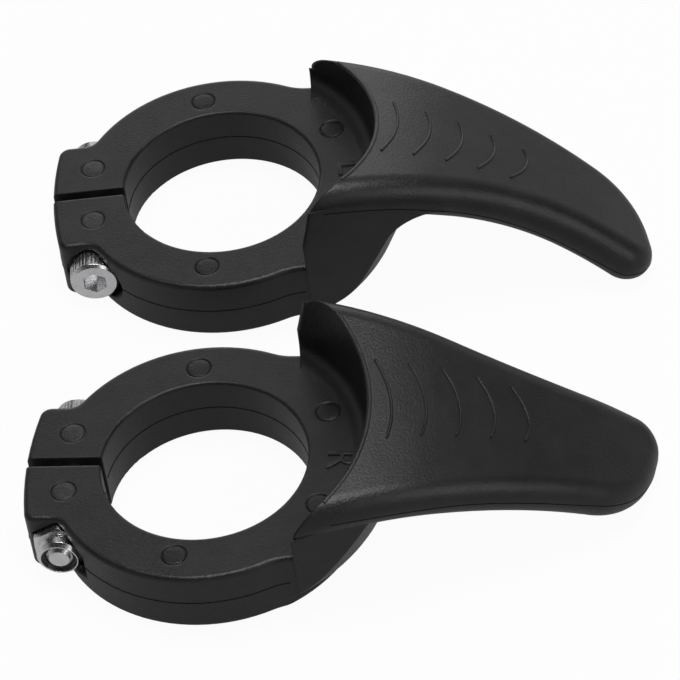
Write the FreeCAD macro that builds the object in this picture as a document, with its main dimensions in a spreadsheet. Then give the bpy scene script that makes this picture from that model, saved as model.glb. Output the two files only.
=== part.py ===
import FreeCAD, Part
import math
import os

import Sketcher

# A pair of clip-on handlebar bar ends, lying side by side as they rest on a table.
# Each hand is modelled in its own frame: bore along Z, ring standing on Z = 0, wing towards +X,
# and the high edge of the left wing towards -Y. The right hand is the mirror image in Y.

SIZES = (
    ("bar_diameter", 22.2, "handlebar that the ring clamps"),
    ("bar_clearance", 0.2, "bore over bar, on the diameter"),
    ("ring_wall", 5.7, "ring, bore to outside"),
    ("ring_height", 7.7, "ring along the bar"),
    ("ring_edge", 0.55, "rounding of the ring's outer edges"),
    ("bore_edge", 0.3, "rounding of the bore's edges"),
    ("lug_reach", 19.4, "bore axis to the end of the lugs"),
    ("lug_width", 16.3, "both lugs, outside to outside"),
    ("lug_end_radius", 42.0, "curve of the lugs' end"),
    ("lug_corner", 1.3, "rounding of the lugs' outer corners"),
    ("lug_blend", 1.8, "hollow between lug and ring"),
    ("slot_width", 1.2, "gap between the lugs"),
    ("gusset_high", 1.6, "gusset's high side, in from the ring's outside"),
    ("gusset_low", 2.7, "gusset's low side, in from the ring's outside"),
    ("gusset_blend", 6.0, "hollow between ring and gusset"),
    ("gusset_lap", 0.4, "gusset into the web"),
    ("plate_thickness", 5.0, "wing plate"),
    ("bend_radius", 58.5, "wing plate's middle, about its bending axis"),
    ("root_bend_radius", 38.0, "tighter bend of the plate's middle near its root"),
    ("bend_change", 20.0, "slope of the plate where the two bends meet"),
    ("root_slope", 25.0, "rise of the plate at its root end, inside the round wall"),
    ("tip_slope", 65.0, "slope of the plate past its tip, outside the outline"),
    ("bend_yaw", 5.2, "turn of the bending axis away from Y, in plan"),
    ("bend_tilt", 10.6, "fall of the bending axis towards the low side"),
    ("bend_ahead", 4.44, "bending axis ahead of the bore axis"),
    ("bend_below", 45.04, "bending axis below the ring's foot"),
    ("draw_lean", 26.0, "lean of the wing's edge walls, towards the tip"),
    ("root_high_ahead", 9.2, "wing outline at the plate's middle, root corner on the high side"),
    ("root_high_side", 15.4, "the same corner, sideways"),
    ("root_high_rise", 16.0, "the same corner, above the ring's foot"),
    ("waist_ahead", 33.0, "waist of the high edge"),
    ("waist_side", 10.8, "the same corner, sideways"),
    ("waist_rise", 8.2, "the same corner, above the ring's foot"),
    ("waist_radius", 52.0, "rounding of the waist"),
    ("tip_ahead", 48.0, "end of the tip"),
    ("tip_drop", 4.0, "end of the tip, below the ring's foot"),
    ("tip_high_side", 12.8, "tip corner on the high side, sideways"),
    ("tip_high_radius", 3.7, "rounding of that corner"),
    ("tip_low_ahead", 45.8, "tip corner on the low side"),
    ("tip_low_side", 0.3, "the same corner, short of the bore axis"),
    ("tip_low_radius", 10.5, "rounding of that corner"),
    ("root_low_ahead", 10.8, "root corner on the low side"),
    ("root_low_side", 14.3, "the same corner, sideways"),
    ("root_low_rise", 11.2, "the same corner, above the ring's foot"),
    ("wing_edge", 2.4, "rounding of the wing's edges, above and below"),
    ("web_radius", 18.1, "round wall of the web, at the ring's foot before rounding"),
    ("web_ahead", 0.3, "axis of that wall ahead of the bore axis"),
    ("web_aside", 1.29, "axis of that wall towards the high side"),
    ("web_draft", 23.2, "lean of that wall outwards"),
    ("web_foot", 5.5, "rounding of that wall's foot"),
    ("web_proud", 0.1, "web's flat sides outside the wing's outline"),
    ("flare_radius", 4.2, "hollow between web and wing on the high side"),
    ("flare_height", 11.6, "top of that hollow, above the ring's foot"),
    ("hood_radius", 17.69, "round wall at the wing's root, at its foot"),
    ("hood_draft", 5.2, "lean of that wall outwards"),
    ("hood_foot", 2.2, "hollow between the ring's upper face and that wall"),
    ("screw_offset", 15.1, "bore axis to the screw's axis"),
    ("screw_diameter", 3.0, "screw's thread"),
    ("screw_length", 18.0, "screw under its head"),
    ("screw_end", 0.4, "chamfer of the screw's end"),
    ("head_diameter", 5.5, "screw's head"),
    ("head_height", 3.0, "screw's head"),
    ("head_edge", 0.3, "chamfer of the head's edge"),
    ("socket_across", 2.5, "hexagon socket, across flats"),
    ("socket_depth", 1.6, "hexagon socket"),
    ("head_seat", 7.5, "slot's middle to the seat under the head"),
    ("head_clearance", 0.4, "head's pocket over the head, on the radius"),
    ("hole_clearance", 0.2, "screw's hole over the screw, on the radius"),
    ("nut_across", 5.5, "lock nut, across flats"),
    ("nut_height", 4.0, "lock nut with its collar"),
    ("nut_hexagon", 2.5, "height of the nut's flats"),
    ("nut_corner", 0.35, "chamfer of the hexagon's corners"),
    ("collar_diameter", 4.9, "nut's round collar"),
    ("collar_edge", 0.4, "chamfer of the collar's rim"),
    ("nut_seat", 6.6, "slot's middle to the seat under the nut"),
    ("nut_clearance", 0.2, "nut's pocket over the nut, on each flat"),
    ("thread_clearance", 0.05, "nut's and locking ring's hole over the screw, on the radius"),
    ("locking_ring_wall", 0.6, "locking ring, hole to outside"),
    ("locking_ring_height", 1.0, "locking ring"),
    ("locking_ring_clearance", 0.03, "recess in the collar over the locking ring, on the radius"),
    ("collar_lip", 0.4, "lip of the collar that holds the locking ring"),
    ("collar_lip_reach", 0.2, "how far the lip covers the locking ring"),
    ("mark_diameter", 2.8, "round pin marks on the ring's upper face"),
    ("mark_depth", 0.12, "round pin marks"),
    ("lug_mark_back", 14.8, "marks on the lugs, behind the bore axis"),
    ("lug_mark_side", 4.2, "the same marks, sideways"),
    ("ring_mark_back", 1.9, "marks at the ring's sides, behind the bore axis"),
    ("ring_mark_side", 13.5, "the same marks, sideways"),
    ("root_mark_ahead", 12.9, "marks under the wing's root, ahead of the bore axis"),
    ("root_mark_side", 6.6, "the same marks, sideways"),
    ("left_yaw", -4.3, "turn of the left hand on the table"),
    ("right_yaw", -10.7, "turn of the right hand on the table"),
    ("right_back", 5.87, "right bore behind the left bore, along the table"),
    ("right_aside", 42.41, "right bore beside the left bore"),
)

doc = FreeCAD.newDocument("bar_ends")
sheet = doc.addObject("Spreadsheet::Sheet", "sizes")
for row, (alias, value, note) in enumerate(SIZES, start=1):
    sheet.set("A%d" % row, alias)
    sheet.set("B%d" % row, "%g" % value)
    sheet.set("C%d" % row, note)
    sheet.setAlias("B%d" % row, alias)
doc.recompute()


def size(alias):
    return float(sheet.get(alias))


def bind(item, **expressions):
    for name, expression in expressions.items():
        item.setExpression(name, expression)
    return item


def solid(kind, name, place=None, **expressions):
    item = bind(doc.addObject(kind, name), **expressions)
    if place:
        item.setExpression("Placement", place)
    return item


def boolean(kind, name, items):
    item = doc.addObject(kind, name)
    item.Shapes = items
    item.Refine = True
    return item


def cut(name, base, tool):
    item = doc.addObject("Part::Cut", name)
    item.Base = base
    item.Tool = tool
    item.Refine = True
    return item


def at(x="0", y="0", z="0", turn="rotation(vector(0; 0; 1); 0)"):
    return "placement(vector(%s; %s; %s); %s)" % (x, y, z, turn)


def outline(name, corners):
    # Closed outline on XY, whose corners are bound to expressions of the sheet
    sketch = doc.addObject("Sketcher::SketchObject", name)
    values = [[float(sheet.evalExpression(word)) for word in corner] for corner in corners]
    points = [FreeCAD.Vector(x, y, 0) for x, y in values]
    for index, point in enumerate(points):
        sketch.addGeometry(Part.LineSegment(point, points[(index + 1) % len(points)]), False)
    for index in range(len(points)):
        following = (index + 1) % len(points)
        sketch.addConstraint(Sketcher.Constraint("Coincident", index, 2, following, 1))
    for index, corner in enumerate(corners):
        for axis, word, value in zip("XY", corner, values[index]):
            kind = "Distance" + axis
            number = sketch.addConstraint(Sketcher.Constraint(kind, -1, 1, index, 1, value))
            sketch.setExpression("Constraints[%d]" % number, word)
    return sketch


def extrusion(name, sketch, below, above, direction="vector(0; 0; 1)"):
    item = doc.addObject("Part::Extrusion", name)
    item.Base = sketch
    item.DirMode = "Custom"
    item.Solid = True
    return bind(item, Dir=direction, LengthRev=below, LengthFwd=above)


def edges_where(shape, test):
    # Names of the edges whose curve and middle point pass the test
    names = []
    for number, edge in enumerate(shape.Edges, start=1):
        middle = edge.valueAt((edge.FirstParameter + edge.LastParameter) / 2)
        if test(edge, middle):
            names.append("Edge%d" % number)
    return names


def straight(edge):
    return edge.Curve.TypeId == "Part::GeomLine"


def wall_edge_at(corner):
    # Straight edge whose line meets the foot plane at that corner
    ahead, side = [float(sheet.evalExpression(word)) for word in corner]

    def test(edge, middle):
        if not straight(edge) or abs(edge.Curve.Direction.z) < 0.1:
            return False
        foot = middle - edge.Curve.Direction * (middle.z / edge.Curve.Direction.z)
        return math.hypot(foot.x - ahead, foot.y - side) < 0.01

    return test


def level_at(*levels):
    # Edges that lie level at one of these heights
    def test(edge, middle):
        box = edge.BoundBox
        return box.ZLength < 1e-6 and min(abs(middle.z - level) for level in levels) < 1e-6

    return test


def body_from(name, base):
    body = doc.addObject("PartDesign::Body", name)
    body.BaseFeature = base
    doc.recompute()
    return body


def rounded(body, name, radius, test):
    before = body.Tip
    item = body.newObject("PartDesign::Fillet", name)
    item.Base = (before, edges_where(before.Shape, test))
    item.setExpression("Radius", radius)
    doc.recompute()
    return item


# Outline of the wing, cast onto the foot plane along the walls' lean, with its corners rounded
cast = "tan(sizes.draw_lean) * sizes."
root_high = ("sizes.root_high_ahead - %sroot_high_rise" % cast, "-sizes.root_high_side")
waist = ("sizes.waist_ahead - %swaist_rise" % cast, "-sizes.waist_side")
tip_high = ("sizes.tip_ahead + %stip_drop" % cast, "-sizes.tip_high_side")
tip_low = ("sizes.tip_low_ahead + %stip_drop" % cast, "-sizes.tip_low_side")
root_low = ("sizes.root_low_ahead - %sroot_low_rise" % cast, "sizes.root_low_side")
wing_outline = outline("wing_outline", (root_high, waist, tip_high, tip_low, root_low))
lean = "vector(sin(sizes.draw_lean); 0; cos(sizes.draw_lean))"
prism = extrusion("wing_prism", wing_outline, "sizes.bend_below", "sizes.bend_radius", lean)
plan = body_from("wing_plan", prism)
rounded(plan, "round_tip_high", "sizes.tip_high_radius", wall_edge_at(tip_high))
rounded(plan, "round_tip_low", "sizes.tip_low_radius", wall_edge_at(tip_low))
rounded(plan, "round_waist", "sizes.waist_radius", wall_edge_at(waist))

# Wing plate, bent in two rolls that run smoothly into each other, and trimmed to that outline
along = "rotation(vector(0; 0; 1); -sizes.bend_yaw) * rotation(vector(1; 0; 0); -90 - sizes.bend_tilt)"
span = "2 * (sizes.root_high_side + sizes.root_low_side)"
tip_axis = at("sizes.bend_ahead", z="-sizes.bend_below", turn=along)
apart = "(sizes.bend_radius - sizes.root_bend_radius)"
root_axis = tip_axis + " * " + at(
    "%s * sin(sizes.bend_change)" % apart,
    "-%s * cos(sizes.bend_change)" % apart,
)


def roll(name, axis, slope, sweep, radius):
    # Sector of a cylinder about a bending axis, from a slope of the plate and through a sweep of it
    start = at(z="-(%s) / 2" % span, turn="rotation(vector(0; 0; 1); %s - 90)" % slope)
    return solid("Part::Cylinder", name, axis + " * " + start, Radius=radius, Height=span, Angle=sweep)


def rolled_plate(name, axis, slope, sweep, radius):
    outer = roll(name + "_outer", axis, slope, sweep, "%s + sizes.plate_thickness / 2" % radius)
    inner = roll(name + "_inner", axis, slope, sweep, "%s - sizes.plate_thickness / 2" % radius)
    return cut(name, outer, inner)


tip_roll = (tip_axis, "sizes.bend_change", "sizes.tip_slope - sizes.bend_change", "sizes.bend_radius")
root_sweep = "sizes.root_slope + sizes.bend_change"
root_roll = (root_axis, "-sizes.root_slope", root_sweep, "sizes.root_bend_radius")
plate = boolean(
    "Part::MultiFuse",
    "bent_plate",
    [rolled_plate("tip_plate", *tip_roll), rolled_plate("root_plate", *root_roll)],
)
under_plate = boolean(
    "Part::MultiFuse",
    "under_plate",
    [roll("under_tip", *tip_roll), roll("under_root", *root_roll)],
)
blank = boolean("Part::MultiCommon", "wing_blank", [plan, plate])
doc.recompute()
wing = body_from("wing", blank)


def on_wing_edge(edge, middle):
    root = size("root_high_ahead") + size("root_low_ahead")
    return not straight(edge) and middle.x > 0.75 * root


rounded(wing, "round_edges", "sizes.wing_edge", on_wing_edge)

# Web under the wing: its round wall leans out from the ring's foot and runs hollow into the plate
half_turn = "rotation(vector(0; 0; 1); 180)"
wall_top = "sizes.web_radius + tan(sizes.web_draft) * sizes.flare_height"
wall = solid(
    "Part::Cone",
    "web_wall",
    at("sizes.web_ahead", "-sizes.web_aside", turn=half_turn),
    Radius1="sizes.web_radius",
    Radius2=wall_top,
    Height="sizes.flare_height",
)
brim = solid(
    "Part::Cylinder",
    "web_brim",
    at("sizes.web_ahead", "-sizes.web_aside", "sizes.flare_height", half_turn),
    Radius="%s + 3 * sizes.flare_radius" % wall_top,
    Height="sizes.root_high_rise",
)
flare = body_from("web_flare", boolean("Part::MultiFuse", "wall_and_brim", [wall, brim]))


def in_flare(edge, middle):
    hollow = float(sheet.evalExpression(wall_top))
    return level_at(size("flare_height"))(edge, middle) and edge.Curve.Radius < hollow + 0.01


rounded(flare, "round_web_foot", "sizes.web_foot", level_at(0))
rounded(flare, "round_web_flare", "sizes.flare_radius", in_flare)
proud = "sizes.web_proud"
web_outline = outline(
    "web_outline",
    (
        ("sizes.root_high_ahead", "-sizes.root_high_side - " + proud),
        ("sizes.waist_ahead", "-sizes.waist_side - " + proud),
        ("sizes.tip_ahead", "-sizes.tip_high_side - " + proud),
        ("sizes.tip_low_ahead", "-sizes.tip_low_side + " + proud),
        ("sizes.root_low_ahead", "sizes.root_low_side + " + proud),
    ),
)
web_prism = extrusion("web_prism", web_outline, "0", "sizes.bend_radius")
web = boolean("Part::MultiCommon", "web", [flare, web_prism, under_plate])

# Wing and web, hollowed by the round wall that stands clear of the bar's other fittings
winged = boolean("Part::MultiFuse", "wing_and_web", [wing, web])
hood = solid(
    "Part::Cone",
    "hood",
    Radius1="sizes.hood_radius",
    Radius2="sizes.hood_radius + tan(sizes.hood_draft) * sizes.bend_radius",
    Height="sizes.bend_radius",
)
hollow = body_from("hood_hollow", hood)
rounded(hollow, "round_hood_foot", "sizes.hood_foot", level_at(0))
hollow.setExpression("Placement", at(z="sizes.ring_height", turn=half_turn))
hooded = cut("hooded_wing", winged, hollow)

# Clamp ring with its lugs, and the gusset that carries the web
ring_radius = "sizes.bar_diameter / 2 + sizes.bar_clearance / 2 + sizes.ring_wall"
ring_disc = solid("Part::Cylinder", "ring_disc", Radius=ring_radius, Height="sizes.ring_height")
lug_block = solid(
    "Part::Box",
    "lug_block",
    at("-sizes.lug_reach", "-sizes.lug_width / 2"),
    Length="sizes.lug_reach",
    Width="sizes.lug_width",
    Height="sizes.ring_height",
)
lug_end = solid(
    "Part::Cylinder",
    "lug_end",
    at("sizes.lug_end_radius - sizes.lug_reach"),
    Radius="sizes.lug_end_radius",
    Height="sizes.ring_height",
)
lugs = boolean("Part::MultiCommon", "lugs", [lug_block, lug_end])
gusset_high_side = ring_radius + " - sizes.gusset_high"
gusset_low_side = ring_radius + " - sizes.gusset_low"
gusset_outline = outline(
    "gusset_outline",
    (
        ("0", "-(" + gusset_high_side + ")"),
        ("sizes.root_high_ahead + sizes.gusset_lap", "-(" + gusset_high_side + ")"),
        ("sizes.root_low_ahead + sizes.gusset_lap", gusset_low_side),
        ("0", gusset_low_side),
    ),
)
gusset = extrusion("gusset", gusset_outline, "0", "sizes.ring_height")
clamp = body_from("clamp", boolean("Part::MultiFuse", "clamp_blank", [ring_disc, lugs, gusset]))


def upright_edge(inner_reach, outer_reach, facing):
    # Upright edges within that distance from the bore axis, behind it or ahead of it
    def test(edge, middle):
        if not straight(edge) or abs(edge.Curve.Direction.z) < 0.99 or middle.x * facing < 0:
            return False
        return inner_reach < math.hypot(middle.x, middle.y) < outer_reach

    return test


outside = float(sheet.evalExpression(ring_radius))
high_side = outside - size("gusset_high")
low_side = outside - size("gusset_low")
lug_corners = upright_edge(outside + 0.01, 2 * size("lug_reach"), -1)
rounded(clamp, "round_lug_corners", "sizes.lug_corner", lug_corners)
rounded(clamp, "round_lug_blends", "sizes.lug_blend", upright_edge(outside - 0.01, outside + 0.01, -1))


def where_gusset_starts(edge, middle):
    side = min(abs(middle.y + high_side), abs(middle.y - low_side))
    return side < 0.01 and upright_edge(outside - 0.01, outside + 0.01, 1)(edge, middle)


rounded(clamp, "round_gusset_blends", "sizes.gusset_blend", where_gusset_starts)


def outside_web(edge, middle):
    # Edges of the upper and lower faces, up to the gusset's end inside the web
    across = (middle.y + high_side) / (high_side + low_side)
    slant = size("root_low_ahead") - size("root_high_ahead")
    end = size("root_high_ahead") + size("gusset_lap") + across * slant
    return middle.x < end - 0.01 and level_at(0, size("ring_height"))(edge, middle)


rounded(clamp, "round_ring_edges", "sizes.ring_edge", outside_web)

# Its corners beside the ring follow the web's rounded foot
corner_block = solid(
    "Part::Box",
    "corner_block",
    at("0", "-sizes.web_radius"),
    Length="sizes.web_radius",
    Width="2 * sizes.web_radius",
    Height="sizes.web_foot",
)
beside_ring = cut("beside_ring", corner_block, ring_disc)
beyond_foot = cut("beyond_foot", beside_ring, flare)
trimmed = cut("trimmed_clamp", clamp, beyond_foot)

# One moulding, with the bore and its rounded edges
joined = boolean("Part::MultiFuse", "joined", [trimmed, hooded])
bore = solid(
    "Part::Cylinder",
    "bore",
    Radius="(sizes.bar_diameter + sizes.bar_clearance) / 2",
    Height="sizes.ring_height",
)
moulding = body_from("moulding", cut("bored", joined, bore))
bore_radius = size("bar_diameter") / 2 + size("bar_clearance") / 2


def on_bore_rim(edge, middle):
    near_bore = math.hypot(middle.x, middle.y) < bore_radius + 0.01
    return near_bore and level_at(0, size("ring_height"))(edge, middle)


rounded(moulding, "round_bore", "sizes.bore_edge", on_bore_rim)

# Slot, screw hole and the pockets of head and nut: the screw lies along Y with its head on the high side
across_lugs = "rotation(vector(1; 0; 0); -90)"
hexagon_turn = " * rotation(vector(0; 0; 1); 30)"
screw_axis = at("-sizes.screw_offset", z="sizes.ring_height / 2")
half_lugs = "sizes.lug_width / 2"


def round_along(name, start, length, radius):
    # Cylinder on the screw's axis, from a place on it and towards the low side
    place = at(y=start, turn=across_lugs)
    return solid("Part::Cylinder", name, place, Radius=radius, Height=length)


def hexagon_along(name, start, length, across):
    # Hexagonal bar on the screw's axis, with two flats upright
    place = at(y=start, turn=across_lugs + hexagon_turn)
    bar = solid("Part::Prism", name, place, Circumradius="(%s) / (2 * cos(30))" % across, Height=length)
    bar.Polygon = 6
    return bar


slot = solid(
    "Part::Box",
    "slot",
    at("-2 * sizes.lug_reach", "-sizes.slot_width / 2"),
    Length="2 * sizes.lug_reach",
    Width="sizes.slot_width",
    Height="sizes.ring_height",
)
hole_radius = "sizes.screw_diameter / 2 + sizes.hole_clearance"
pocket_radius = "sizes.head_diameter / 2 + sizes.head_clearance"
pocket_across = "sizes.nut_across + 2 * sizes.nut_clearance"
screw_room = boolean(
    "Part::MultiFuse",
    "screw_room",
    [
        round_along("screw_hole", "-" + half_lugs, "sizes.lug_width", hole_radius),
        round_along("head_pocket", "-sizes.head_seat - " + half_lugs, half_lugs, pocket_radius),
        hexagon_along("nut_pocket", "sizes.nut_seat", half_lugs, pocket_across),
    ],
)
screw_room.setExpression("Placement", screw_axis)
unmarked = cut("unmarked", cut("slotted", moulding, slot), screw_room)

# Round pin marks on the ring's upper face, in pairs on both sides of the slot's plane
marks = []
for pair, ahead, side in (
    ("lug", "-sizes.lug_mark_back", "sizes.lug_mark_side"),
    ("ring", "-sizes.ring_mark_back", "sizes.ring_mark_side"),
    ("root", "sizes.root_mark_ahead", "sizes.root_mark_side"),
):
    for hand_side, sign in (("high", "-"), ("low", "")):
        mark = solid(
            "Part::Cylinder",
            "%s_mark_%s" % (pair, hand_side),
            at(ahead, sign + side, "sizes.ring_height - sizes.mark_depth"),
            Radius="sizes.mark_diameter / 2",
            Height="2 * sizes.mark_depth",
        )
        marks.append(mark)
pin_marks = boolean("Part::MultiFuse", "pin_marks", marks)

mirrored = doc.addObject("Part::Mirroring", "mirrored")
mirrored.Source = unmarked
mirrored.Normal = FreeCAD.Vector(0, 1, 0)
left_body = cut("left_body", unmarked, pin_marks)
right_body = cut("right_body", mirrored, pin_marks)


def turned(name, corners):
    # Solid of revolution about Y, from an outline with the radius along X
    item = doc.addObject("Part::Revolution", name)
    item.Source = outline(name + "_profile", corners)
    item.Axis = FreeCAD.Vector(0, 1, 0)
    item.Angle = 360
    item.Solid = True
    return item


def fasteners(hand):
    # Socket screw, lock nut and the nut's locking ring, on the screw's axis
    seat = "-sizes.head_seat"
    face = "-sizes.head_seat - sizes.head_height"
    end = "sizes.screw_length - sizes.head_seat"
    shank = "sizes.screw_diameter / 2"
    head = "sizes.head_diameter / 2"
    blank_screw = turned(
        hand + "_screw_blank",
        (
            ("0", face),
            (head + " - sizes.head_edge", face),
            (head, face + " + sizes.head_edge"),
            (head, seat),
            (shank, seat),
            (shank, end + " - sizes.screw_end"),
            (shank + " - sizes.screw_end", end),
            ("0", end),
        ),
    )
    socket = hexagon_along(hand + "_socket", face, "sizes.socket_depth", "sizes.socket_across")
    screw = cut(hand + "_clamp_screw", blank_screw, socket)

    foot = "sizes.nut_seat"
    shoulder = foot + " + sizes.nut_hexagon"
    top = foot + " + sizes.nut_height"
    corner = "sizes.nut_across / (2 * cos(30))"
    collar = "sizes.collar_diameter / 2"
    envelope = turned(
        hand + "_nut_envelope",
        (
            ("0", foot),
            (corner + " - sizes.nut_corner", foot),
            (corner, foot + " + sizes.nut_corner"),
            (corner, shoulder + " - sizes.nut_corner"),
            (corner + " - sizes.nut_corner", shoulder),
            (collar, shoulder),
            (collar, top + " - sizes.collar_edge"),
            (collar + " - sizes.collar_edge", top),
            ("0", top),
        ),
    )
    hexagon = hexagon_along(hand + "_nut_hexagon", foot, "sizes.nut_height", "sizes.nut_across")
    blank_nut = boolean("Part::MultiCommon", hand + "_nut_blank", [hexagon, envelope])

    inner = "sizes.screw_diameter / 2 + sizes.thread_clearance"
    outer = inner + " + sizes.locking_ring_wall"
    floor = top + " - sizes.collar_lip - sizes.locking_ring_height"
    ring_height = "sizes.locking_ring_height"
    recess_radius = outer + " + sizes.locking_ring_clearance"
    lip_radius = outer + " - sizes.collar_lip_reach"
    nut_bore = boolean(
        "Part::MultiFuse",
        hand + "_nut_bore",
        [
            round_along(hand + "_thread", foot, "sizes.nut_height", inner),
            round_along(hand + "_recess", floor, ring_height, recess_radius),
            round_along(hand + "_lip_hole", floor, ring_height + " + sizes.collar_lip", lip_radius),
        ],
    )
    nut = cut(hand + "_lock_nut", blank_nut, nut_bore)

    ring_blank = round_along(hand + "_ring_blank", floor, ring_height, outer)
    ring_hole = round_along(hand + "_ring_hole", floor, ring_height, inner)
    ring = cut(hand + "_locking_ring", ring_blank, ring_hole)
    return [screw, nut, ring]


left_fasteners = fasteners("left")
right_fasteners = fasteners("right")
doc.recompute()


# Rest on a table: each hand leans on the end of its lugs and on the tip of its wing
fineness = 0.02


def resting_lean(shape):
    points = shape.tessellate(fineness)[0]
    least = -45.0
    most = 45.0
    while most - least > 1e-6:
        lean_angle = (least + most) / 2
        turn = FreeCAD.Rotation(FreeCAD.Vector(0, 1, 0), lean_angle)
        heights = [(point.x, turn.multVec(point).z) for point in points]
        lugs_foot = min(height for ahead, height in heights if ahead < 0)
        tip_foot = min(height for ahead, height in heights if ahead > 0)
        if tip_foot > lugs_foot:
            least = lean_angle
        else:
            most = lean_angle
    return FreeCAD.Placement(FreeCAD.Vector(0, 0, -lugs_foot), turn)


def standing(yaw, back, aside):
    spot = FreeCAD.Vector(-back, -aside, 0)
    return FreeCAD.Placement(spot, FreeCAD.Rotation(FreeCAD.Vector(0, 0, 1), yaw))


lying = resting_lean(left_body.Shape)
left_rest = standing(size("left_yaw"), 0, 0).multiply(lying)
right_rest = standing(size("right_yaw"), size("right_back"), size("right_aside")).multiply(lying)
axis_spot = FreeCAD.Vector(-size("screw_offset"), 0, size("ring_height") / 2)
left_axis = FreeCAD.Placement(axis_spot, FreeCAD.Rotation())
right_axis = FreeCAD.Placement(axis_spot, FreeCAD.Rotation(FreeCAD.Vector(0, 0, 1), 180))
placed = [(left_body, left_rest), (right_body, right_rest)]
placed += [(item, left_rest.multiply(left_axis)) for item in left_fasteners]
placed += [(item, right_rest.multiply(right_axis)) for item in right_fasteners]

# The pair's footprint is centred on the origin
reach = FreeCAD.BoundBox()
for item, place in placed:
    for point in item.Shape.tessellate(fineness)[0]:
        reach.add(place.multVec(point))
middle_foot = FreeCAD.Vector(reach.Center.x, reach.Center.y, reach.ZMin)
centring = FreeCAD.Placement(-middle_foot, FreeCAD.Rotation())
for item, place in placed:
    item.Placement = centring.multiply(place)
    item.Label = item.Name
doc.recompute()

# Nothing is written unless every object is sound
for item in doc.Objects:
    if {"Invalid", "Error"} & set(item.State):
        raise RuntimeError("%s failed: %s" % (item.Name, item.State))
for item, place in placed:
    shape = item.Shape
    if shape.isNull() or not shape.isValid() or len(shape.Solids) != 1:
        raise RuntimeError("%s is not one sound solid" % item.Name)

os.makedirs("parts", exist_ok=True)
for item, place in placed:
    item.Shape.exportStep("parts/%s.step" % item.Label)
    print("%s %.1f mm3" % (item.Label, item.Shape.Volume))
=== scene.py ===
from math import pi, radians, tan

import bpy
from mathutils import Matrix, Vector


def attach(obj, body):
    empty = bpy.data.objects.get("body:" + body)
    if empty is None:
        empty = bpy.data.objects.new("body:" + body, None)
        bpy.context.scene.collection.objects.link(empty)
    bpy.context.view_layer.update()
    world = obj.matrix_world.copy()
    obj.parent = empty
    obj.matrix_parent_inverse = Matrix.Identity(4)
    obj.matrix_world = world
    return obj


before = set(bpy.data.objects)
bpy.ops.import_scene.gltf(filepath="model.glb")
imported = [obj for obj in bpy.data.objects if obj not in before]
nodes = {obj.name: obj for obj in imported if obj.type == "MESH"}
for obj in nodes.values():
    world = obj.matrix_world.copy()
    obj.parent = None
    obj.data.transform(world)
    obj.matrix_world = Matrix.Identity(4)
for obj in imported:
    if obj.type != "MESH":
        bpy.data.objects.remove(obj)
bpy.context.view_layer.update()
mm = 0.001
print("frame loaded:", sorted(nodes))

# where each hand lies: ring's bottom centre in mm, turn about the upright and lean in degrees
hands = {
    "left": {"place": (-10.4889, 21.1814, 1.3928), "turn": -4.3, "lean": -4.2341, "mirror": 1},
    "right": {"place": (-16.3589, -21.2286, 1.3928), "turn": -10.7, "lean": -4.2341, "mirror": -1},
}


def handMatrix(hand):
    # from the left hand's own frame in mm to the row frame in metres, mirrored for the right hand
    side = hands[hand]
    place = Matrix.Translation(Vector(side["place"]) * mm)
    turned = Matrix.Rotation(radians(side["turn"]), 4, "Z") @ Matrix.Rotation(radians(side["lean"]), 4, "Y")
    return place @ turned @ Matrix.Diagonal((mm, mm * side["mirror"], mm, 1.0))


# material helpers
def newMaterial(name):
    material = bpy.data.materials.new(name)
    material.use_nodes = True
    return material, material.node_tree, material.node_tree.nodes["Principled BSDF"]


def addNode(tree, kind, settings=None, inputs=None):
    node = tree.nodes.new(kind)
    for key, value in (settings or {}).items():
        setattr(node, key, value)
    for key, value in (inputs or {}).items():
        node.inputs[key].default_value = value
    return node


def addNoise(tree, coords, scale, detail=2.0, roughness=0.5):
    inputs = {"Scale": scale, "Detail": detail, "Roughness": roughness}
    noise = addNode(tree, "ShaderNodeTexNoise", None, inputs)
    tree.links.new(coords.outputs["Object"], noise.inputs["Vector"])
    return noise


def addRamp(tree, source, low, high, start=0.3, end=0.7):
    inputs = {"From Min": start, "From Max": end, "To Min": low, "To Max": high}
    ramp = addNode(tree, "ShaderNodeMapRange", None, inputs)
    tree.links.new(source, ramp.inputs["Value"])
    return ramp


def addColourMix(tree, factor, first, second):
    mix = addNode(tree, "ShaderNodeMix", {"data_type": "RGBA"})
    mix.inputs["A"].default_value = (*first, 1.0)
    mix.inputs["B"].default_value = (*second, 1.0)
    tree.links.new(factor, mix.inputs["Factor"])
    return mix


# black glass-filled nylon: fine eroded grain, slightly cloudy colour, softly rounded edges
nylonLook = {
    "dark": (0.0125, 0.0125, 0.0132),
    "light": (0.0200, 0.0200, 0.0206),
    "cloudScale": 260.0,
    "grainScale": 4200.0,
    "fineScale": 11000.0,
    "grainDepth": 0.000035,
    "fineDepth": 0.000012,
    "roughLow": 0.28,
    "roughHigh": 0.42,
    "specular": 0.40,
    "edgeRound": 0.00030,
}


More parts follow.
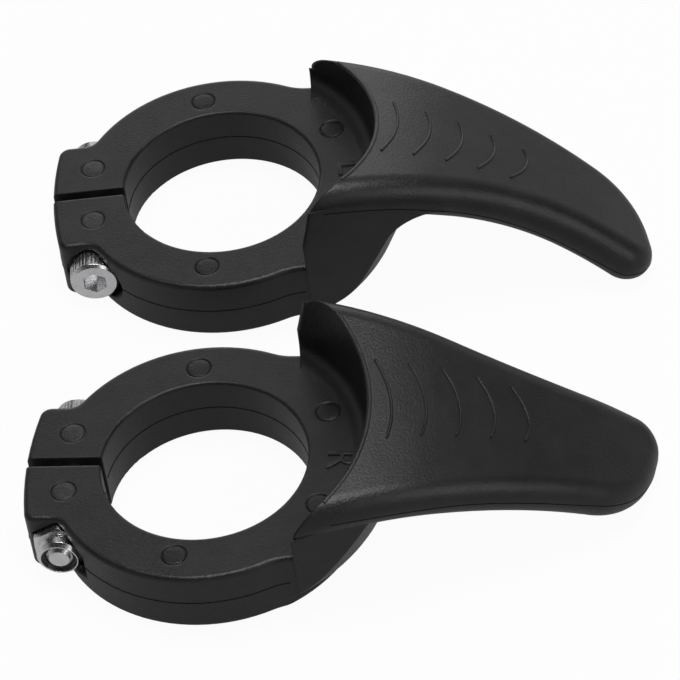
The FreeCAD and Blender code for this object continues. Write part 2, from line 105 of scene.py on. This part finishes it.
def makeNylon(name, look):
    material, tree, shader = newMaterial(name)
    coords = addNode(tree, "ShaderNodeTexCoord")
    cloud = addNoise(tree, coords, look["cloudScale"], 4.0, 0.6)
    grain = addNoise(tree, coords, look["grainScale"], 2.0, 0.55)
    fine = addNoise(tree, coords, look["fineScale"], 1.0, 0.5)
    shade = addRamp(tree, cloud.outputs["Fac"], 0.0, 1.0)
    colour = addColourMix(tree, shade.outputs["Result"], look["dark"], look["light"])
    tree.links.new(colour.outputs["Result"], shader.inputs["Base Color"])
    rough = addRamp(tree, grain.outputs["Fac"], look["roughLow"], look["roughHigh"])
    tree.links.new(rough.outputs["Result"], shader.inputs["Roughness"])
    rounded = addNode(tree, "ShaderNodeBevel", {"samples": 6}, {"Radius": look["edgeRound"]})
    coarse = addNode(tree, "ShaderNodeBump", None, {"Strength": 1.0, "Distance": look["grainDepth"]})
    tree.links.new(grain.outputs["Fac"], coarse.inputs["Height"])
    tree.links.new(rounded.outputs["Normal"], coarse.inputs["Normal"])
    bump = addNode(tree, "ShaderNodeBump", None, {"Strength": 1.0, "Distance": look["fineDepth"]})
    tree.links.new(fine.outputs["Fac"], bump.inputs["Height"])
    tree.links.new(coarse.outputs["Normal"], bump.inputs["Normal"])
    tree.links.new(bump.outputs["Normal"], shader.inputs["Normal"])
    shader.inputs["Specular IOR Level"].default_value = look["specular"]
    return material


# zinc-plated steel: bright, with fine turning marks and a faint blotchy passivation
steelLook = {
    "screw": {"dark": (0.70, 0.70, 0.71), "light": (0.86, 0.86, 0.87), "roughLow": 0.22, "roughHigh": 0.34},
    "nut": {"dark": (0.76, 0.76, 0.77), "light": (0.90, 0.90, 0.91), "roughLow": 0.18, "roughHigh": 0.30},
    "cloudScale": 900.0,
    "scratchScale": 6000.0,
    "scratchDepth": 0.000003,
    "edgeRound": 0.00008,
}


def makeSteel(name, tone):
    material, tree, shader = newMaterial(name)
    coords = addNode(tree, "ShaderNodeTexCoord")
    cloud = addNoise(tree, coords, steelLook["cloudScale"], 3.0, 0.6)
    scratch = addNoise(tree, coords, steelLook["scratchScale"], 2.0, 0.6)
    shade = addRamp(tree, cloud.outputs["Fac"], 0.0, 1.0)
    colour = addColourMix(tree, shade.outputs["Result"], tone["dark"], tone["light"])
    tree.links.new(colour.outputs["Result"], shader.inputs["Base Color"])
    rough = addRamp(tree, scratch.outputs["Fac"], tone["roughLow"], tone["roughHigh"])
    tree.links.new(rough.outputs["Result"], shader.inputs["Roughness"])
    rounded = addNode(tree, "ShaderNodeBevel", {"samples": 6}, {"Radius": steelLook["edgeRound"]})
    bump = addNode(tree, "ShaderNodeBump", None, {"Strength": 1.0, "Distance": steelLook["scratchDepth"]})
    tree.links.new(scratch.outputs["Fac"], bump.inputs["Height"])
    tree.links.new(rounded.outputs["Normal"], bump.inputs["Normal"])
    tree.links.new(bump.outputs["Normal"], shader.inputs["Normal"])
    shader.inputs["Metallic"].default_value = 1.0
    return material


blackNylon = makeNylon("blackNylon", nylonLook)
screwSteel = makeSteel("screwSteel", steelLook["screw"])
nutSteel = makeSteel("nutSteel", steelLook["nut"])
ringLook = dict(nylonLook, dark=(0.030, 0.031, 0.034), light=(0.050, 0.051, 0.055),
                grainDepth=0.000008, roughLow=0.28, roughHigh=0.38)
ringNylon = makeNylon("ringNylon", ringLook)
finishes = {"body": blackNylon, "clamp_screw": screwSteel, "lock_nut": nutSteel, "locking_ring": ringNylon}
for hand in hands:
    for piece, finish in finishes.items():
        mesh = nodes[hand + "_" + piece].data
        mesh.materials.clear()
        mesh.materials.append(finish)
print("materials on the CAD nodes:", len(bpy.data.materials))


# helpers for the fine pieces
def selectOnly(piece):
    bpy.ops.object.select_all(action="DESELECT")
    piece.select_set(True)
    bpy.context.view_layer.objects.active = piece


def nodeCopy(hand, name):
    # a merged copy of a body's mesh, as the start of a piece that follows its surface
    piece = bpy.data.objects.new(name, nodes[hand + "_body"].data.copy())
    bpy.context.scene.collection.objects.link(piece)
    selectOnly(piece)
    bpy.ops.object.mode_set(mode="EDIT")
    bpy.ops.mesh.select_mode(type="VERT")
    bpy.ops.mesh.select_all(action="SELECT")
    bpy.ops.mesh.remove_doubles(threshold=0.000002)
    bpy.ops.object.mode_set(mode="OBJECT")
    return piece


def keepVertices(piece, hand, wanted):
    # deletes each vertex whose place in the hand's own frame isn't wanted
    bpy.ops.object.mode_set(mode="EDIT")
    bpy.ops.mesh.select_mode(type="VERT")
    bpy.ops.mesh.select_all(action="DESELECT")
    bpy.ops.object.mode_set(mode="OBJECT")
    toHand = handMatrix(hand).inverted()
    for vertex in piece.data.vertices:
        vertex.select = not wanted(toHand @ vertex.co)
    bpy.ops.object.mode_set(mode="EDIT")
    bpy.ops.mesh.delete(type="VERT")
    bpy.ops.object.mode_set(mode="OBJECT")


def finishPiece(piece, material):
    piece.data.materials.clear()
    piece.data.materials.append(material)
    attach(piece, "root")


def thickenLine(piece, thick):
    # a row of edges becomes a fine round bead with closed ends
    selectOnly(piece)
    bpy.ops.object.convert(target="CURVE")
    piece = bpy.context.object
    piece.data.bevel_depth = thick * mm
    piece.data.bevel_resolution = 1
    piece.data.use_fill_caps = True
    bpy.ops.object.convert(target="MESH")
    piece = bpy.context.object
    bpy.ops.object.shade_smooth_by_angle(angle=radians(50.0))
    return piece


def lineOnBody(hand, name, points, thick, fromAbove=False):
    # a smooth line through points of the hand's own frame, laid on the body and thickened
    bpy.ops.object.select_all(action="DESELECT")
    bpy.ops.curve.primitive_nurbs_path_add()
    line = bpy.context.object
    line.name = name
    spline = line.data.splines[0]
    spline.points.add(len(points) - len(spline.points))
    for point, place in zip(spline.points, points):
        point.co = (*place, 1.0)
    spline.order_u = 3
    spline.use_endpoint_u = True
    spline.resolution_u = 8
    bpy.ops.object.convert(target="MESH")
    line = bpy.context.object
    line.matrix_world = handMatrix(hand)
    bpy.ops.object.transform_apply(location=True, rotation=True, scale=True)
    wrap = line.modifiers.new("onBody", "SHRINKWRAP")
    wrap.target = nodes[hand + "_body"]
    if fromAbove:
        wrap.wrap_method = "PROJECT"
        wrap.use_project_z = True
        wrap.use_negative_direction = True
        wrap.use_positive_direction = False
    bpy.ops.object.modifier_apply(modifier="onBody")
    return thickenLine(line, thick)


# the mould's parting line: a fine witness line at half height, round the ring and in the bore, raised as a
# real bead and painted near-black as the shade along its small step
partingLook = {"height": 3.85, "thick": 0.055, "boreReach": 12.4, "highEnd": 8.9, "lowEnd": 10.2,
               "lugSide": 8.0, "lugEnd": -18.6, "lugStart": -10.8, "slotSide": 0.75}
# the seam's near-black colour is painted shade, darker than the nylon's own tone
seamShadeLook = dict(nylonLook, dark=(0.003, 0.003, 0.003), light=(0.005, 0.005, 0.005), specular=0.1)
seamShade = makeNylon("seamShade", seamShadeLook)


def onParting(place):
    if place.x < partingLook["lugStart"] and abs(place.y) < partingLook["slotSide"]:
        return False
    if place.xy.length < partingLook["boreReach"]:
        return True
    if place.x < partingLook["lugStart"] and place.x > partingLook["lugEnd"]:
        return abs(place.y) > partingLook["lugSide"]
    return place.x < (partingLook["highEnd"] if place.y < 0 else partingLook["lowEnd"])


for hand in hands:
    seam = nodeCopy(hand, hand + "_parting_line")
    toRow = handMatrix(hand)
    bpy.ops.object.mode_set(mode="EDIT")
    bpy.ops.mesh.select_all(action="SELECT")
    bpy.ops.mesh.bisect(plane_co=toRow @ Vector((0.0, 0.0, partingLook["height"])),
                        plane_no=(toRow.to_3x3() @ Vector((0.0, 0.0, 1.0))).normalized(),
                        use_fill=False, clear_inner=True, clear_outer=True, threshold=0.0000001)
    bpy.ops.object.mode_set(mode="OBJECT")
    keepVertices(seam, hand, onParting)
    finishPiece(thickenLine(seam, partingLook["thick"]), seamShade)
print("parting lines on the rings are done")

# the same line along the wing's edge, from the web round the tip and back, with the same painted shade
edgeLook = {
    "thick": 0.05,
    "points": (
        (15.0, 12.8, 11.2), (25.0, 9.1, 9.7), (33.0, 5.9, 6.6), (41.0, 2.3, 1.8), (44.0, 0.5, -0.2),
        (46.0, -1.9, -1.7), (47.5, -6.0, -2.7), (47.7, -9.0, -2.9), (46.0, -11.9, -2.2), (44.0, -12.2, -1.7),
        (41.0, -11.8, 0.7), (33.0, -11.3, 6.9), (25.0, -12.4, 11.5), (18.0, -13.8, 14.2), (12.0, -14.9, 15.3),
    ),
}
for hand in hands:
    seam = lineOnBody(hand, hand + "_edge_line", edgeLook["points"], edgeLook["thick"])
    finishPiece(seam, seamShade)
print("parting lines on the wings are done")

# grip ribs: five low bows across each wing, shorter towards the tip
ribLook = {"thick": 0.17, "count": 5, "start": 23.0, "step": 3.6, "middle": -1.6, "drift": -0.62,
           "half": 4.8, "shorten": 0.42, "bow": 1.1, "slant": 0.9, "above": 60.0}
for hand in hands:
    for rib in range(ribLook["count"]):
        half = ribLook["half"] - ribLook["shorten"] * rib
        start = ribLook["start"] + ribLook["step"] * rib
        middle = ribLook["middle"] + ribLook["drift"] * rib
        points = []
        for step in range(-3, 4):
            along = step / 3.0
            ahead = start + ribLook["bow"] * (1.0 - along * along) + ribLook["slant"] * along
            points.append((ahead, middle + half * along, ribLook["above"]))
        bar = lineOnBody(hand, "%s_grip_rib_%d" % (hand, rib + 1), points, ribLook["thick"], True)
        finishPiece(bar, blackNylon)
print("grip ribs are done")

# rounded lip along the hood's sharp rim
rimLook = {"thick": 0.30, "sink": 0.19, "foot": 17.69, "ring": 7.7, "draft": 5.2, "ahead": 14.0,
           "above": 9.0, "near": 0.03, "sharp": 35.0}


def onRim(place):
    hoodReach = rimLook["foot"] + tan(radians(rimLook["draft"])) * (place.z - rimLook["ring"])
    onWall = abs(place.xy.length - hoodReach) < rimLook["near"]
    return onWall and place.x > rimLook["ahead"] and place.z > rimLook["above"]


for hand in hands:
    rim = nodeCopy(hand, hand + "_hood_rim")
    bpy.ops.object.mode_set(mode="EDIT")
    bpy.ops.mesh.select_mode(type="EDGE")
    bpy.ops.mesh.select_all(action="DESELECT")
    bpy.ops.mesh.edges_select_sharp(sharpness=radians(rimLook["sharp"]))
    bpy.ops.mesh.select_all(action="INVERT")
    bpy.ops.mesh.delete(type="EDGE")
    bpy.ops.object.mode_set(mode="OBJECT")
    keepVertices(rim, hand, onRim)
    toRow = handMatrix(hand)
    toHand = toRow.inverted()
    for vertex in rim.data.vertices:
        place = toHand @ vertex.co
        outward = place.xy.normalized() * rimLook["sink"]
        vertex.co = toRow @ (place + Vector((outward.x, outward.y, -rimLook["sink"])))
    finishPiece(thickenLine(rim, rimLook["thick"]), blackNylon)
print("hood rims are done")

# raised hand marks on the ring, read from the slot's side
markLook = {"left": "L", "right": "R", "size": 4.4, "raise": 0.14, "edge": 0.03,
            "ahead": 13.4, "aside": 1.0, "top": 7.7}
for hand in hands:
    bpy.ops.object.select_all(action="DESELECT")
    bpy.ops.object.text_add()
    mark = bpy.context.object
    mark.name = hand + "_hand_mark"
    mark.data.body = markLook[hand]
    mark.data.size = markLook["size"]
    mark.data.extrude = markLook["raise"]
    mark.data.bevel_depth = markLook["edge"]
    bpy.ops.object.convert(target="MESH")
    mark = bpy.context.object
    unmirrored = handMatrix(hand) @ Matrix.Diagonal((1.0, hands[hand]["mirror"], 1.0, 1.0))
    onRing = Matrix.Translation((markLook["ahead"], markLook["aside"], markLook["top"]))
    mark.matrix_world = unmirrored @ onRing @ Matrix.Rotation(-pi / 2, 4, "Z")
    bpy.ops.object.transform_apply(location=True, rotation=True, scale=True)
    bpy.ops.object.mode_set(mode="EDIT")
    bpy.ops.mesh.select_all(action="SELECT")
    bpy.ops.mesh.remove_doubles(threshold=0.000001)
    bpy.ops.mesh.normals_make_consistent(inside=False)
    bpy.ops.object.mode_set(mode="OBJECT")
    print(mark.name, [round(side / mm, 2) for side in mark.dimensions])
    finishPiece(mark, blackNylon)

# knurled side of the screw's head: a toothed sleeve whose tips stand out of it
knurlLook = {"teeth": 40, "tip": 2.82, "root": 2.68, "from": -7.7, "to": -10.0, "back": -15.1,
             "height": 3.85, "wall": 0.35}
for hand in hands:
    bpy.ops.object.select_all(action="DESELECT")
    bpy.ops.mesh.primitive_cylinder_add(vertices=2 * knurlLook["teeth"], radius=knurlLook["tip"],
                                        depth=knurlLook["from"] - knurlLook["to"])
    knurl = bpy.context.object
    knurl.name = hand + "_head_knurl"
    bpy.ops.object.mode_set(mode="EDIT")
    bpy.ops.mesh.select_mode(type="VERT")
    bpy.ops.mesh.select_all(action="DESELECT")
    bpy.ops.object.mode_set(mode="OBJECT")
    for vertex in knurl.data.vertices:
        vertex.select = (vertex.index // 2) % 2 == 1
    bpy.ops.object.mode_set(mode="EDIT")
    shrink = knurlLook["root"] / knurlLook["tip"]
    bpy.ops.transform.resize(value=(shrink, shrink, 1.0), center_override=(0.0, 0.0, 0.0))
    bpy.ops.mesh.select_mode(type="FACE")
    bpy.ops.mesh.select_all(action="DESELECT")
    bpy.ops.object.mode_set(mode="OBJECT")
    for face in knurl.data.polygons:
        face.select = abs(face.normal.z) > 0.9
    bpy.ops.object.mode_set(mode="EDIT")
    bpy.ops.mesh.inset(thickness=knurlLook["wall"])
    bpy.ops.mesh.bridge_edge_loops()
    bpy.ops.object.mode_set(mode="OBJECT")
    middle = (knurlLook["from"] + knurlLook["to"]) / 2
    onScrew = Matrix.Translation((knurlLook["back"], middle, knurlLook["height"]))
    knurl.matrix_world = handMatrix(hand) @ onScrew @ Matrix.Rotation(pi / 2, 4, "X")
    bpy.ops.object.transform_apply(location=True, rotation=True, scale=True)
    bpy.ops.object.mode_set(mode="EDIT")
    bpy.ops.mesh.select_all(action="SELECT")
    bpy.ops.mesh.normals_make_consistent(inside=False)
    bpy.ops.object.mode_set(mode="OBJECT")
    finishPiece(knurl, screwSteel)
print("hand marks and knurled heads are done")

# ejector pins' ends: a nearly flat disc in each round mark, modelled once, scuffed on the lugs
pinLook = {"across": 2.6, "deep": 0.10, "dome": 0.014, "top": 7.655, "edge": 0.04,
           "lugs": ((-14.8, -4.2), (-14.8, 4.2)),
           "ring": ((-1.9, -13.5), (-1.9, 13.5), (12.9, -6.6), (12.9, 6.6))}
scuffedLook = dict(nylonLook, dark=(0.013, 0.013, 0.0136), light=(0.042, 0.042, 0.043),
                   cloudScale=1100.0, grainDepth=0.00005, roughLow=0.28, roughHigh=0.44)
pinScuffed = makeNylon("pinScuffed", scuffedLook)
plainLook = dict(nylonLook, dark=(0.008, 0.008, 0.0085), light=(0.014, 0.014, 0.0145),
                 specular=0.35, roughLow=0.28, roughHigh=0.43)
pinPlain = makeNylon("pinPlain", plainLook)
bpy.ops.object.select_all(action="DESELECT")
bpy.ops.mesh.primitive_cylinder_add(vertices=40, radius=pinLook["across"] / 2, depth=pinLook["deep"],
                                    location=(0.0, 0.0, -pinLook["deep"] / 2))
pinStart = bpy.context.object
bpy.ops.object.transform_apply(location=True, rotation=True, scale=True)
bpy.ops.object.mode_set(mode="EDIT")
bpy.ops.mesh.select_mode(type="FACE")
bpy.ops.mesh.select_all(action="DESELECT")
bpy.ops.object.mode_set(mode="OBJECT")
for face in pinStart.data.polygons:
    face.select = face.normal.z > 0.9
bpy.ops.object.mode_set(mode="EDIT")
bpy.ops.mesh.inset(thickness=pinLook["edge"], depth=pinLook["dome"] / 2)
bpy.ops.mesh.inset(thickness=pinLook["across"] / 4, depth=pinLook["dome"] / 2)
bpy.ops.object.mode_set(mode="OBJECT")
bpy.ops.object.shade_smooth_by_angle(angle=radians(40.0))
for hand in hands:
    for group, finish in (("lugs", pinScuffed), ("ring", pinPlain)):
        for number, (ahead, aside) in enumerate(pinLook[group]):
            pin = bpy.data.objects.new("%s_%s_pin_%d" % (hand, group, number + 1), pinStart.data.copy())
            bpy.context.scene.collection.objects.link(pin)
            pin.matrix_world = handMatrix(hand) @ Matrix.Translation((ahead, aside, pinLook["top"]))
            selectOnly(pin)
            bpy.ops.object.transform_apply(location=True, rotation=True, scale=True)
            bpy.ops.object.mode_set(mode="EDIT")
            bpy.ops.mesh.select_all(action="SELECT")
            bpy.ops.mesh.normals_make_consistent(inside=False)
            bpy.ops.object.mode_set(mode="OBJECT")
            finishPiece(pin, finish)
bpy.data.objects.remove(pinStart, do_unlink=True)
print("pin marks are done")

# floor: pale, white to the eye, and it keeps a faint shadow
floorLook = {"size": 6.0, "seen": (0.90, 0.90, 0.90), "bounce": (0.35, 0.35, 0.35), "glow": 0.955,
             "mirrorGlow": 0.27, "wall": 1.2}
bpy.ops.object.select_all(action="DESELECT")
bpy.ops.mesh.primitive_plane_add(size=floorLook["size"], location=(0.0, 0.0, 0.0))
floor = bpy.context.object
floor.name = "floor"


def makeFloor(look):
    # white to the eye, with a quieter reflection and bounce on the object
    material, tree, shader = newMaterial("paleFloor")
    shader.inputs["Roughness"].default_value = 0.9
    shader.inputs["Specular IOR Level"].default_value = 0.0
    rays = addNode(tree, "ShaderNodeLightPath")
    colour = addColourMix(tree, rays.outputs["Is Camera Ray"], look["bounce"], look["seen"])
    tree.links.new(colour.outputs["Result"], shader.inputs["Base Color"])
    glow = addNode(tree, "ShaderNodeEmission", None, {"Strength": 1.0})
    mirrored = addNode(tree, "ShaderNodeMath", {"operation": "MAXIMUM"})
    tree.links.new(rays.outputs["Is Glossy Ray"], mirrored.inputs[0])
    tree.links.new(rays.outputs["Is Transmission Ray"], mirrored.inputs[1])
    seenShare = addNode(tree, "ShaderNodeMath", {"operation": "MULTIPLY"})
    seenShare.inputs[1].default_value = look["glow"]
    tree.links.new(rays.outputs["Is Camera Ray"], seenShare.inputs[0])
    mirrorShare = addNode(tree, "ShaderNodeMath", {"operation": "MULTIPLY_ADD"})
    mirrorShare.inputs[1].default_value = look["mirrorGlow"]
    tree.links.new(mirrored.outputs[0], mirrorShare.inputs[0])
    tree.links.new(seenShare.outputs[0], mirrorShare.inputs[2])
    mix = addNode(tree, "ShaderNodeMixShader")
    tree.links.new(mirrorShare.outputs[0], mix.inputs["Fac"])
    tree.links.new(shader.outputs["BSDF"], mix.inputs[1])
    tree.links.new(glow.outputs["Emission"], mix.inputs[2])
    tree.links.new(mix.outputs["Shader"], tree.nodes["Material Output"].inputs["Surface"])
    return material


floor.data.materials.append(makeFloor(floorLook))

# low round wall behind the floor's rim, so that flat views end in the same white
bpy.ops.object.select_all(action="DESELECT")
bpy.ops.mesh.primitive_cylinder_add(vertices=96, radius=floorLook["size"] / 2, depth=floorLook["wall"],
                                    end_fill_type="NOTHING", location=(0.0, 0.0, floorLook["wall"] / 2))
backdrop = bpy.context.object
backdrop.name = "backdrop"
backdrop.data.materials.append(floor.data.materials[0])

# plain soft studio light
worldLook = {"colour": (0.95, 0.97, 1.0), "strength": 0.02}
world = bpy.data.worlds.new("studio")
world.use_nodes = True
bpy.context.scene.world = world
sky = world.node_tree.nodes["Background"]
sky.inputs["Color"].default_value = (*worldLook["colour"], 1.0)
sky.inputs["Strength"].default_value = worldLook["strength"]

lampLook = {
    "topBox": {"place": (0.0, 0.0, 0.9), "aim": (0.0, 0.0, 0.0), "size": 0.5, "power": 5.1},
    "backBox": {"place": (0.0, 0.8, 0.55), "aim": (0.0, 0.0, 0.0), "size": 0.6, "power": 0.5},
    "lowBackBox": {"place": (0.0, 0.9, 0.25), "aim": (0.0, 0.0, 0.0), "size": 0.6, "power": 1.35},
    "frontBox": {"place": (0.6, -0.6, 0.5), "aim": (0.0, 0.0, 0.0), "size": 0.6, "power": 2.0},
    "sideBox": {"place": (0.6, 0.6, 0.5), "aim": (0.0, 0.0, 0.0), "size": 0.6, "power": 0.45},
}
for name, look in lampLook.items():
    bpy.ops.object.select_all(action="DESELECT")
    bpy.ops.object.light_add(type="AREA", location=look["place"])
    lamp = bpy.context.object
    lamp.name = name
    lamp.data.size = look["size"]
    lamp.data.energy = look["power"]
    aim = Vector(look["aim"]) - Vector(look["place"])
    lamp.rotation_euler = aim.to_track_quat("-Z", "Y").to_euler()
print("floor and lamps are set")

# camera at the photograph's angle
cameraLook = {
    "place": (-25.4156, -328.1068, 347.1711),
    "angles": (43.6899, 1.9664, -6.4722),
    "lens": 225.85,
    "sensor": 36.0,
    "nearest": 0.01,
}
bpy.ops.object.select_all(action="DESELECT")
angles = [radians(angle) for angle in cameraLook["angles"]]
bpy.ops.object.camera_add(location=Vector(cameraLook["place"]) * mm, rotation=angles)
camera = bpy.context.object
camera.name = "photoCamera"
camera.data.lens = cameraLook["lens"]
camera.data.sensor_width = cameraLook["sensor"]
camera.data.clip_start = cameraLook["nearest"]
bpy.context.scene.camera = camera
bpy.context.scene.view_settings.view_transform = "Standard"
print("camera is set")
